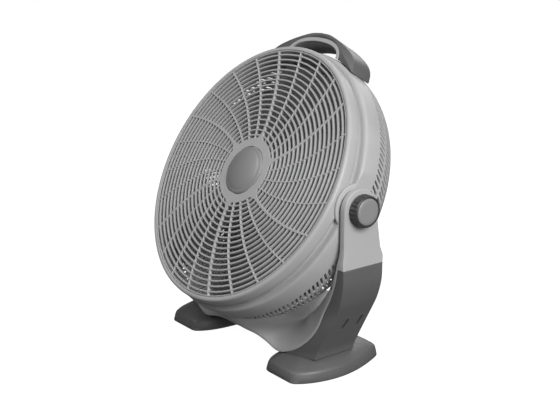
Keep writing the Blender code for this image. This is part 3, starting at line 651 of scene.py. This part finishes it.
# ---------------------------------------------------------------- rotor and motor


def fan_blade():
    hub_front = GRILLE_Y + 0.022
    rim = BLADE_HUB_RADIUS
    profile = [(0.0, 0.0), (0.024, 0.0), (0.030, 0.0004), (0.036, 0.0018), (0.041, 0.0042),
               (0.0445, 0.0078),
               (rim, 0.0120), (rim, 0.0500), (rim - 0.003, 0.0500), (rim - 0.003, 0.0110),
               (0.012, 0.0070), (0.012, 0.0300), (0.0, 0.0300)]
    points, faces = turned([(r, hub_front + d) for r, d in profile], 96)
    for blade in range(BLADE_COUNT):
        front = []
        back = []
        for share in steps(0.0, 1.0, 22):
            radius = rim - 0.0015 + share * (BLADE_RADIUS - rim)
            corner = math.sqrt(1 - max(0.0, (share - 0.82) / 0.18) ** 2 * 0.22)
            half = math.radians(27.0 + 4.0 * math.sin(math.pi * share)) * corner
            sweep = math.radians(14.0) * share
            rise = 0.021 + 0.004 * share
            fronts = []
            backs = []
            for chord in steps(-1.0, 1.0, 16):
                turn = 2 * math.pi * blade / BLADE_COUNT + sweep + chord * half
                y = hub_front + 0.031 + rise * (chord - 0.18 * (1 - chord * chord))
                thick = 0.0004 + 0.0007 * math.sqrt(max(0.0, 1 - chord * chord))
                fronts.append((radius * math.sin(turn), y - thick, radius * math.cos(turn)))
                backs.append((radius * math.sin(turn), y + thick, radius * math.cos(turn)))
            front.append(fronts)
            back.append(backs)
        points, faces = joined(points, faces, *rounded_sheet(front, back, 0.0004))
    piece("fan_blade", points, faces, "dark_plastic", "rotor", ["fan_blade"], HEAD)
    nut = [(0.0045, GRILLE_Y + 0.0140), (0.0080, GRILLE_Y + 0.0140), (0.0105, GRILLE_Y + 0.0165),
           (0.0110, GRILLE_Y + 0.0217), (0.0045, GRILLE_Y + 0.0217)]
    points, faces = turned(nut, 48)
    grip = []
    for x, y, z in points:
        turn = math.atan2(z, x)
        radius = math.hypot(x, z)
        if radius > 0.0070:
            radius -= 0.0010 * (0.5 + 0.5 * math.cos(8 * turn))
        grip.append((radius * math.cos(turn), y, radius * math.sin(turn)))
    piece("blade_nut", grip, faces, "black_plastic", "rotor", ["blade_nut"], HEAD)


def motor_bells():
    plate = GRILLE_Y + 0.1682
    front = plate - 0.066
    nose = [(0.0110, 0.0), (0.0280, 0.0), (0.0310, 0.0006), (0.0480, 0.0090), (0.0520, 0.0115),
            (0.0540, 0.0150), (0.0540, 0.0295), (0.0505, 0.0295), (0.0505, 0.0150), (0.0460, 0.0070),
            (0.0310, 0.0030), (0.0140, 0.0030), (0.0140, 0.0075), (0.0110, 0.0075)]
    tail = [(0.0110, 0.0545), (0.0140, 0.0545), (0.0140, 0.0630), (0.0505, 0.0630), (0.0505, 0.0298),
            (0.0540, 0.0298), (0.0540, 0.0645), (0.0532, 0.0656), (0.0520, 0.0660), (0.0110, 0.0660)]
    for name, profile in (("motor_front_bell", nose), ("motor_rear_bell", tail)):
        points, faces = turned([(r, front + d) for r, d in profile], 72)
        piece(name, points, faces, "aluminium", "head", [name], HEAD)


def rear_controls():
    back = GRILLE_Y + 0.1714
    cover = [(0.0880, 0.0), (0.0905, 0.0), (0.0905, 0.0060), (0.0898, 0.0105), (0.0876, 0.0160),
             (0.0840, 0.0208), (0.0780, 0.0250), (0.0700, 0.0285), (0.0600, 0.0318), (0.0500, 0.0338),
             (0.0400, 0.0348), (0.0320, 0.0350), (0.0306, 0.0346), (0.0300, 0.0335), (0.0300, 0.0280),
             (0.0062, 0.0280), (0.0062, 0.0255), (0.0330, 0.0255), (0.0330, 0.0322), (0.0545, 0.0302),
             (0.0800, 0.0218), (0.0875, 0.0090)]
    points, faces = turned([(r, back + d) for r, d in cover], 144)
    shell = piece("motor_cover", points, faces, "light_plastic", "head", ["motor_cover"], HEAD)
    cut(shell, *turned([(0.0, -0.10), (0.0068, -0.10), (0.0068, -0.06), (0.0, -0.06)], 32, "Z",
                       (0.0, back + 0.012)))
    for k, degrees in enumerate((90.0, 45.0, 0.0, -45.0)):
        turn = math.radians(degrees)
        out = Vector((math.cos(turn), 0.0, math.sin(turn)))
        across = Vector((-math.sin(turn), 0.0, math.cos(turn)))
        loops = []
        for y, shrink in ((0.0335, 0.0), (0.0354, 0.0), (0.0358, 0.0003)):
            half, near, far = 0.0007 + 0.0003 * k - shrink, 0.0345 + shrink, 0.0400 - shrink
            loops.append([out * r + across * w + Vector((0, back + y, 0))
                          for r, w in ((near, -half), (far, -half), (far, half), (near, half))])
        points, faces = loops_solid(loops)
        piece(f"dial_mark_{k}", points, faces, "dark_plastic", "head", [], HEAD)

    loops = []
    flutes = 30
    for y, radius, depth in ((0.0290, 0.0266, 0.0), (0.0305, 0.0266, 0.0008), (0.0425, 0.0250, 0.0008),
                             (0.0445, 0.0243, 0.0004), (0.0462, 0.0228, 0.0), (0.0468, 0.0205, 0.0),
                             (0.0470, 0.0150, 0.0)):
        ring = []
        for k in range(flutes * 6):
            turn = 2 * math.pi * k / (flutes * 6)
            r = radius - depth * (0.5 - 0.5 * math.cos(flutes * turn))
            ring.append((r * math.cos(turn), back + y, r * math.sin(turn)))
        loops.append(ring)
    points, faces = loops_solid(loops)
    loops = []
    for y, inset in ((0.0465, 0.0), (0.0476, 0.0), (0.0480, 0.0004)):
        corners = ((-1, 0.0080, 1), (1, 0.0080, 1), (1, 0.0200, -1), (-1, 0.0200, -1))
        loops.append([(w * (0.0012 - inset), back + y, r + g * inset) for w, r, g in corners])
    points, faces = joined(points, faces, *loops_solid(loops))
    stem = [(0.0, back + 0.0200), (0.0040, back + 0.0200), (0.0040, back + 0.0292),
            (0.0, back + 0.0292)]
    points, faces = joined(points, faces, *turned(stem, 32))
    piece("speed_dial", points, faces, "knob_plastic", "dial", ["speed_dial"], HEAD)

    gland = [(0.0038, -0.0960), (0.0058, -0.0960), (0.0064, -0.0955), (0.0064, -0.0940),
             (0.0054, -0.0936), (0.0054, -0.0926), (0.0065, -0.0922), (0.0065, -0.0800),
             (0.0038, -0.0800)]
    points, faces = turned(gland, 48, "Z", (0.0, back + 0.012))
    piece("cord_gland", points, faces, "black_plastic", "head", ["cord_gland"], HEAD)


# ---------------------------------------------------------------- knobs and screws


def knob(side, word):
    """A tilt-lock knob: a fluted rim, and a smooth cap set in its face."""
    base = LEG_OUTER_X + GAP
    rim = base + 0.0185
    flutes = 24
    loops = []
    # Distance out, radius and depth of the flutes.
    profile = ((base, 0.0262, 0.0), (base + 0.0012, 0.0278, 0.0), (base + 0.0028, 0.0290, 0.0006),
               (base + 0.0045, 0.0290, 0.0017), (rim - 0.0045, 0.0290, 0.0017),
               (rim - 0.0024, 0.0287, 0.0008), (rim - 0.0008, 0.0276, 0.0), (rim, 0.0262, 0.0),
               (rim - 0.0002, 0.0250, 0.0), (rim - 0.0012, 0.0244, 0.0), (rim - 0.0035, 0.0243, 0.0))
    for x, radius, depth in profile:
        ring = []
        for k in range(flutes * 8):
            turn = 2 * math.pi * k / (flutes * 8)
            r = radius - depth * (0.5 - 0.5 * math.cos(flutes * turn)) ** 0.7
            ring.append((side * x, r * math.cos(turn), r * math.sin(turn)))
        loops.append(ring)
    points, faces = loops_solid(loops)
    body = f"knob_{word}"
    piece(f"tilt_knob_{word}", points, faces, "black_plastic", body, [f"tilt_knob_{word}"], PIVOT)
    face = [(0.0, 0.0012), (0.0080, 0.0013), (0.0150, 0.0015), (0.0195, 0.0014), (0.0222, 0.0008),
            (0.0236, -0.0002), (0.0240, -0.0014), (0.0240, -0.0034), (0.0, -0.0034)]
    points, faces = turned([(r, side * (rim + x)) for r, x in face], 96, "X")
    # A plain oval mark, turned 25 degrees.
    loops = []
    for x, size in ((0.0009, 1.0), (0.0016, 1.0), (0.0018, 0.88)):
        ring = []
        for k in range(32):
            turn = 2 * math.pi * k / 32
            a, b = 0.0042 * size * math.cos(turn), 0.0013 * size * math.sin(turn)
            ring.append((side * (rim + x), 0.906 * a - 0.423 * b, 0.423 * a + 0.906 * b))
        loops.append(ring)
    points, faces = joined(points, faces, *loops_solid(loops))
    piece(f"knob_cap_{word}", points, faces, "knob_plastic", body, [f"knob_cap_{word}"], PIVOT)


def screw(name, place, direction, head_radius, shank_radius, length, body, slot="steel"):
    """A pan-head screw with a cross recess. The head's underside is at `place`."""
    segments = 48
    loops = []
    top = -0.6 * head_radius
    heights = ((0.12, top), (0.30, top), (0.50, top * 0.98), (0.56, top * 0.97), (0.80, top * 0.86),
               (0.95, top * 0.55), (1.0, top * 0.2), (1.0, 0.0))
    for share, height in heights:
        ring = []
        for k in range(segments):
            turn = 2 * math.pi * k / segments
            near = abs((turn + math.pi / 4) % (math.pi / 2) - math.pi / 4)
            sunk = share < 0.55 and share * math.sin(near) < 0.11
            drop = 0.3 * head_radius * (1.25 - share) if sunk else 0.0
            r = share * head_radius
            ring.append((r * math.cos(turn), r * math.sin(turn), height + drop))
        loops.append(ring)
    shank = ((shank_radius, 0.0), (shank_radius, length - 0.001), (0.4 * shank_radius, length))
    for radius, along in shank:
        loops.append([(radius * math.cos(2 * math.pi * k / segments),
                       radius * math.sin(2 * math.pi * k / segments), along) for k in range(segments)])
    points, faces = loops_solid(loops)
    turn = Vector((0, 0, 1)).rotation_difference(Vector(direction)).to_matrix().to_4x4()
    matrix = Matrix.Translation(Vector(place)) @ turn
    piece(name, points, faces, slot, body, [name], matrix)


# A slanting screw through the yoke's front face holds each leg cover. Its seat lies at this angle
# from straight down and this radius about the tilt axis, and its axis leans back from the radius.
LEG_SCREW_TURN = math.radians(59.5)
LEG_SCREW_RADIUS = 0.2838
LEG_SCREW_Y = PIVOT_Y - 0.0338
LEG_SCREW_LEAN = math.radians(62.0)


def screws():
    to_front = HEAD.to_3x3() @ Vector((0, -1, 0))
    for side, word in ((-1, "left"), (1, "right")):
        place = HEAD @ Vector((side * 0.098, GRILLE_Y + 0.0905, 0.2620))
        screw(f"handle_screw_{word}", place, to_front, 0.0035, 0.0018, 0.012, "head")
        for k, y in enumerate((PIVOT_Y - 0.015, PIVOT_Y + 0.035)):
            screw(f"foot_screw_{word}_{k + 1}", (side * 0.180, y, 0.0267), (0, 0, 1), 0.0042, 0.0020,
                  0.0130, "base")
        out = Vector((side * math.sin(LEG_SCREW_TURN), 0.0, -math.cos(LEG_SCREW_TURN)))
        axis = out * math.cos(LEG_SCREW_LEAN) + Vector((0.0, math.sin(LEG_SCREW_LEAN), 0.0))
        place = Vector((0.0, LEG_SCREW_Y, PIVOT_HEIGHT)) + out * LEG_SCREW_RADIUS - axis * GAP
        # The leg screw heads sit flush and take the near-black finish, which paints in the shade of
        # their holes.
        screw(f"leg_screw_{word}", place, axis, 0.0034, 0.0020, 0.0095, "base", "blackened_steel")
    for k in range(4):
        turn = math.radians(45 + 90 * k)
        place = HEAD @ Vector((0.038 * math.cos(turn), GRILLE_Y + 0.1713, 0.038 * math.sin(turn)))
        screw(f"motor_screw_{k + 1}", place, to_front, 0.0040, 0.0020, 0.0095, "head")


# ---------------------------------------------------------------- yoke, legs and feet

# Front edge of the yoke: degrees from straight down about the tilt axis, then y and the radius from
# the tilt axis, both measured in the fan's front view.
YOKE_EDGE = [
    (0.0, -0.060, 0.2830), (10.0, -0.060, 0.2875), (16.0, -0.060, 0.2990), (22.0, -0.060, 0.3190),
    (27.0, -0.057, 0.3235), (34.0, -0.052, 0.3230), (42.7, -0.045, 0.3140), (49.0, -0.039, 0.2990),
    (56.6, -0.037, 0.2910), (62.2, -0.037, 0.2860), (67.9, -0.038, 0.2795), (72.0, -0.039, 0.2785),
]
# Columns of points across the yoke, as shares of the way from its front edge to its rear edge.
YOKE_ACROSS = (
    0.0, 0.025, 0.05, 0.075, 0.10, 0.12, 0.15, 0.19, 0.24, 0.32, 0.40, 0.50, 0.60, 0.70, 0.78, 0.86,
    0.93, 1.0,
)
SEAM_TURN = 68.0
COVER_END_TURN = 26.0
EDGE_ROUNDING = 0.0016


def trough_row(degrees, offset):
    """A row of the trough's surface from front to rear, moved outward by `offset`."""
    y_front, r_front = read(YOKE_EDGE, degrees)
    lip = r_front - TROUGH_RADIUS
    length = LEG_REAR_Y - y_front
    steep = max(0.0, min(1.0, (degrees - 28.0) / 10.0))
    reach = 0.40 + steep * (0.5 * lip / length - 0.40)
    power = 2.0 - 0.8 * steep
    bowl = max(0.0, min(1.0, (22.0 - degrees) / 10.0))
    turn = math.radians(degrees)
    row = []
    for share in YOKE_ACROSS:
        tail = max(0.0, (share - 0.86) / 0.14)
        y = y_front + share * length + bowl * tail * (BOWL_REAR_Y - LEG_REAR_Y)
        radius = TROUGH_RADIUS + offset + lip * max(0.0, 1 - share / reach) ** power
        radius += (1 - bowl) * 0.5 * lip * max(0.0, (share - 0.70) / 0.30) ** 2
        radius -= bowl * BOWL_RISE * max(0.0, y - BOWL_CREASE_Y)
        row.append((radius * math.sin(turn), PIVOT_Y + y, PIVOT_HEIGHT - radius * math.cos(turn)))
    return row


def leg_row(z, x):
    """A row of a leg's flat side, at height z from the tilt axis."""
    share = min(1.0, -z / (PIVOT_HEIGHT - LEG_SEAM_Z))
    rear = LEG_TOP_RADIUS + share * (LEG_REAR_Y - LEG_TOP_RADIUS - 0.002)
    across = [-LEG_TOP_RADIUS + s * (rear + LEG_TOP_RADIUS) for s in YOKE_ACROSS]
    return [(x, PIVOT_Y + y, PIVOT_HEIGHT + z) for y in across]


def yoke():
    heights = steps(0.0, -0.075, 6)
    inner = [leg_row(z, LEG_INNER_X) for z in heights]
    outer = [leg_row(z, LEG_OUTER_X) for z in heights]
    for degrees in (71.0, 69.0):
        inner.append(trough_row(degrees, 0.0))
        outer.append([(LEG_OUTER_X, y, max(z, LEG_SEAM_Z)) for x, y, z in inner[-1]])
    outer[-1] = [(x, y, LEG_SEAM_Z) for x, y, z in outer[-1]]
    for degrees in steps(SEAM_TURN, 0.0, 48):
        inner.append(trough_row(degrees, 0.0))
        outer.append(trough_row(degrees, YOKE_WALL))
        if degrees == SEAM_TURN:
            outer[-1] = [(x, y, LEG_SEAM_Z) for x, y, z in outer[-1]]
    for rows in (inner, outer):
        rows += [[(-x, y, z) for x, y, z in row] for row in reversed(rows[:-1])]
    arcs = []
    for side, turns in ((1, steps(0.0, 180.0, 32)[1:-1]), (-1, steps(180.0, 0.0, 32)[1:-1])):
        arc = []
        for degrees in turns:
            out = Vector((0.0, math.cos(math.radians(degrees)), math.sin(math.radians(degrees))))
            edge = Vector((0.0, PIVOT_Y, PIVOT_HEIGHT)) + out * LEG_TOP_RADIUS
            across = Vector((side, 0.0, 0.0))
            arc.append((edge + across * LEG_INNER_X, edge + across * LEG_OUTER_X, out))
        arcs.append(arc)
    points, faces = rounded_sheet(inner, outer, EDGE_ROUNDING, arcs)
    piece("yoke", points, faces, "light_plastic", "base", ["yoke"], smooth_angle=50.0)


# Outer face of a leg below the seam: height and x.
LEG_FACE = [
    (0.0368, 0.2060), (0.0500, 0.2090), (0.0720, 0.2205), (0.0950, 0.2330), (0.1150, 0.2440),
    (0.1350, 0.2550), (0.1570, 0.2665), (0.1800, 0.2745), (0.2000, 0.2785), (0.2277, LEG_OUTER_X),
]
LEG_SLOTS_Y = (PIVOT_Y + 0.001, PIVOT_Y + 0.036)
LEG_SLOT_Z = 0.110
LEG_SLOT_LENGTH = 0.024
LEG_SLOT_WIDTH = 0.0065
LEG_SLOT_LEAN = math.radians(78.0)


def slot_outline(y):
    """A slanted slot with round ends, as (y, z) pairs."""
    points = []
    half = LEG_SLOT_WIDTH / 2
    reach = LEG_SLOT_LENGTH / 2 - half
    for end in (1, -1):
        for k in range(13):
            turn = LEG_SLOT_LEAN + math.pi / 2 * (1 - end) + math.radians(-90 + 15 * k)
            cy = y + end * reach * math.cos(LEG_SLOT_LEAN)
            cz = LEG_SLOT_Z + end * reach * math.sin(LEG_SLOT_LEAN)
            points.append((cy + half * math.cos(turn), cz + half * math.sin(turn)))
    return points


def leg_cover(side, word):
    inner = []
    outer = []
    low, high = LEG_FACE[0][0], LEG_FACE[-1][0]
    count = 44
    for k, degrees in enumerate(steps(SEAM_TURN, COVER_END_TURN, count)):
        row = trough_row(degrees, YOKE_WALL + GAP)
        z = high + (low - high) * k / count
        x = read(LEG_FACE, z)[0]
        near, far = row[0][1], row[-1][1]
        top = high if k < count else low
        inner.append([(side * px, py, max(min(pz, top), low)) for px, py, pz in row])
        taper = 0.020 * max(0.0, min(1.0, (0.200 - z) / 0.040))
        front = near + taper * (LEG_OUTER_X - x) / (LEG_OUTER_X - LEG_FACE[0][1])
        outer.append([(side * x, front + share * (far - front), z) for share in YOKE_ACROSS])
    points, faces = rounded_sheet(inner, outer, EDGE_ROUNDING)
    name = f"leg_cover_{word}"
    cover = piece(name, points, faces, "dark_plastic", "base", [name], smooth_angle=50.0)
    for slot_y in LEG_SLOTS_Y:
        loops = [[(side * x, y, z) for y, z in slot_outline(slot_y)] for x in (0.2215, 0.29)]
        cut(cover, *loops_solid(loops))


# Half of a foot's plan: y from the tilt axis, inner x and outer x.
FOOT_PLAN = [
    (-0.090, 0.129, 0.196), (-0.087, 0.121, 0.203), (-0.070, 0.110, 0.2150), (-0.045, 0.102, 0.2250),
    (-0.015, 0.098, 0.2310), (0.015, 0.097, 0.2320), (0.045, 0.099, 0.2280), (0.075, 0.104, 0.2200),
    (0.100, 0.112, 0.2110), (0.120, 0.121, 0.2020), (0.1285, 0.130, 0.193), (0.130, 0.137, 0.186),
]
# Height, then how far the outline has drawn in at the front, at the sides and at the rear.
FOOT_LEVELS = [
    (0.0018, 0.0030, 0.0020, 0.0030), (0.0026, 0.0012, 0.0008, 0.0012), (0.0042, 0.0, 0.0, 0.0),
    (0.0120, 0.0018, 0.0008, 0.0012), (0.0190, 0.0036, 0.0018, 0.0028), (0.0218, 0.0050, 0.0026, 0.0036),
    (0.0240, 0.0074, 0.0040, 0.0054), (0.0258, 0.0106, 0.0062, 0.0082), (0.0280, 0.0150, 0.0090, 0.0110),
    (0.0310, 0.0210, 0.0130, 0.0155), (0.0340, 0.0285, 0.0185, 0.0215), (0.0357, 0.0350, 0.0230, 0.0262),
    (0.0365, 0.0420, 0.0270, 0.0310),
]


def foot(side, word):
    low, high = FOOT_PLAN[0][0], FOOT_PLAN[-1][0]
    middle = (low + high) / 2
    places = [middle - (high - low) / 2 * math.cos(math.pi * k / 48) for k in range(49)]
    loops = []
    for z, front, sides, rear in FOOT_LEVELS:
        stretch = (high - low - front - rear) / (high - low)
        shift = (front - rear) / 2
        right = []
        left = []
        for place in places:
            inner, outer = read(FOOT_PLAN, place)
            centre, half = (inner + outer) / 2, (outer - inner) / 2 - sides
            y = PIVOT_Y + middle + (place - middle) * stretch + shift
            right.append((side * (centre + half), y, z))
            left.append((side * (centre - half), y, z))
        loops.append(right + left[::-1])
    points, faces = loops_solid(loops)
    piece(f"foot_{word}", points, faces, "dark_plastic", "base", [f"foot_{word}"], smooth_angle=50.0)


def rubber_pads():
    profile = [(0.0, 0.0006), (0.0060, 0.0006), (0.0072, 0.0000), (0.0102, 0.0000), (0.0109, 0.0005),
               (0.0110, 0.0015), (0.0, 0.0015)]
    for side, word in ((-1, "left"), (1, "right")):
        for y, where in ((PIVOT_Y - 0.070, "front"), (PIVOT_Y + 0.110, "rear")):
            points, faces = turned(profile, 64, "Z", (side * 0.162, y))
            name = f"rubber_pad_{where}_{word}"
            piece(name, points, faces, "rubber", "base", [name])


# ---------------------------------------------------------------- camera, lights and floor


CAMERA_AZIMUTH = math.radians(52.03)
CAMERA_ELEVATION = math.radians(15.23)
CAMERA_DISTANCE = 1.9526
CAMERA_LENS = 64.29
CAMERA_AIM_HEIGHT = 0.27313
CAMERA_AIM_SHIFT = 0.0320
# Name, place, size of the square and power.
LIGHTS = (
    ("key", (3.0, -0.6, 1.9), 1.7, 112.0),
    ("front_fill", (-0.6, -2.2, 3.0), 2.0, 38.0),
    ("top_fill", (0.0, 0.8, 3.0), 2.0, 8.0),
    ("rear_fill", (-1.6, 2.6, 1.8), 2.0, 26.0),
)


def place_camera():
    """The camera stands to the front right, a little above the fan."""
    azimuth, elevation = CAMERA_AZIMUTH, CAMERA_ELEVATION
    across = Vector((math.cos(azimuth), math.sin(azimuth), 0.0))
    back = Vector((math.sin(azimuth) * math.cos(elevation), -math.cos(azimuth) * math.cos(elevation),
                   math.sin(elevation)))
    up = back.cross(across)
    data = bpy.data.cameras.new("camera")
    data.lens = CAMERA_LENS
    camera = bpy.data.objects.new("camera", data)
    bpy.context.scene.collection.objects.link(camera)
    turn = Matrix((across, up, back)).transposed().to_4x4()
    target = Vector((0.0, PIVOT_Y, CAMERA_AIM_HEIGHT)) + across * CAMERA_AIM_SHIFT
    camera.matrix_world = Matrix.Translation(target + back * CAMERA_DISTANCE) @ turn
    bpy.context.scene.camera = camera


def place_lights():
    """Soft square lights, dim light all round, and plain white behind the fan."""
    for name, place, size, power in LIGHTS:
        lamp = bpy.data.lights.new(name, "AREA")
        lamp.size = size
        lamp.energy = power
        obj = bpy.data.objects.new(name, lamp)
        obj.location = place
        aim = Vector((0.0, 0.0, 0.3)) - Vector(place)
        obj.rotation_euler = aim.to_track_quat("-Z", "Y").to_euler()
        bpy.context.scene.collection.objects.link(obj)

    world = bpy.data.worlds.new("studio")
    world.use_nodes = True
    tree = world.node_tree
    soft = tree.nodes["Background"]
    soft.inputs["Color"].default_value = (1.0, 1.0, 1.0, 1.0)
    soft.inputs["Strength"].default_value = 0.12
    bright = tree.nodes.new("ShaderNodeBackground")
    bright.inputs["Color"].default_value = (1.0, 1.0, 1.0, 1.0)
    bright.inputs["Strength"].default_value = 1.0
    choice = tree.nodes.new("ShaderNodeMixShader")
    seen = tree.nodes.new("ShaderNodeLightPath")
    tree.links.new(seen.outputs["Is Camera Ray"], choice.inputs["Fac"])
    tree.links.new(soft.outputs["Background"], choice.inputs[1])
    tree.links.new(bright.outputs["Background"], choice.inputs[2])
    tree.links.new(choice.outputs["Shader"], tree.nodes["World Output"].inputs["Surface"])
    bpy.context.scene.world = world
    bpy.context.scene.view_settings.view_transform = "Standard"


def place_floor():
    paper = bpy.data.materials.new("studio_floor")
    paper.use_nodes = True
    shader = paper.node_tree.nodes["Principled BSDF"]
    shader.inputs["Base Color"].default_value = (0.20, 0.20, 0.20, 1.0)
    shader.inputs["Roughness"].default_value = 0.9
    shader.inputs["Emission Color"].default_value = (1.0, 1.0, 1.0, 1.0)
    shader.inputs["Emission Strength"].default_value = 0.97
    mesh = bpy.data.meshes.new("floor")
    half = 40.0
    corners = [(-half, -half, 0), (half, -half, 0), (half, half, 0), (-half, half, 0)]
    mesh.from_pydata(corners, [], [(0, 1, 2, 3)])
    mesh.materials.append(paper)
    floor = bpy.data.objects.new("floor", mesh)
    bpy.context.scene.collection.objects.link(floor)
    floor.visible_diffuse = False
    floor.visible_glossy = False


def finish_cad_nodes():
    """Gives every CAD node that still shows the same finishes."""
    slots = {part["node"]: part["material_slot"] for part in frame["record"]["subparts"]}
    for node, obj in frame["nodes"].items():
        for slot in obj.material_slots:
            slot.material = FINISHES[slots[node]]


place_camera()
place_lights()
place_floor()
finish_cad_nodes()
front_grille()
badge()
front_ring()
drum_housing()
pivot_bosses()
handle()
fan_blade()
motor_bells()
rear_controls()
for turn_side, turn_word in ((-1, "left"), (1, "right")):
    knob(turn_side, turn_word)
    leg_cover(turn_side, turn_word)
    foot(turn_side, turn_word)
screws()
yoke()
rubber_pads()
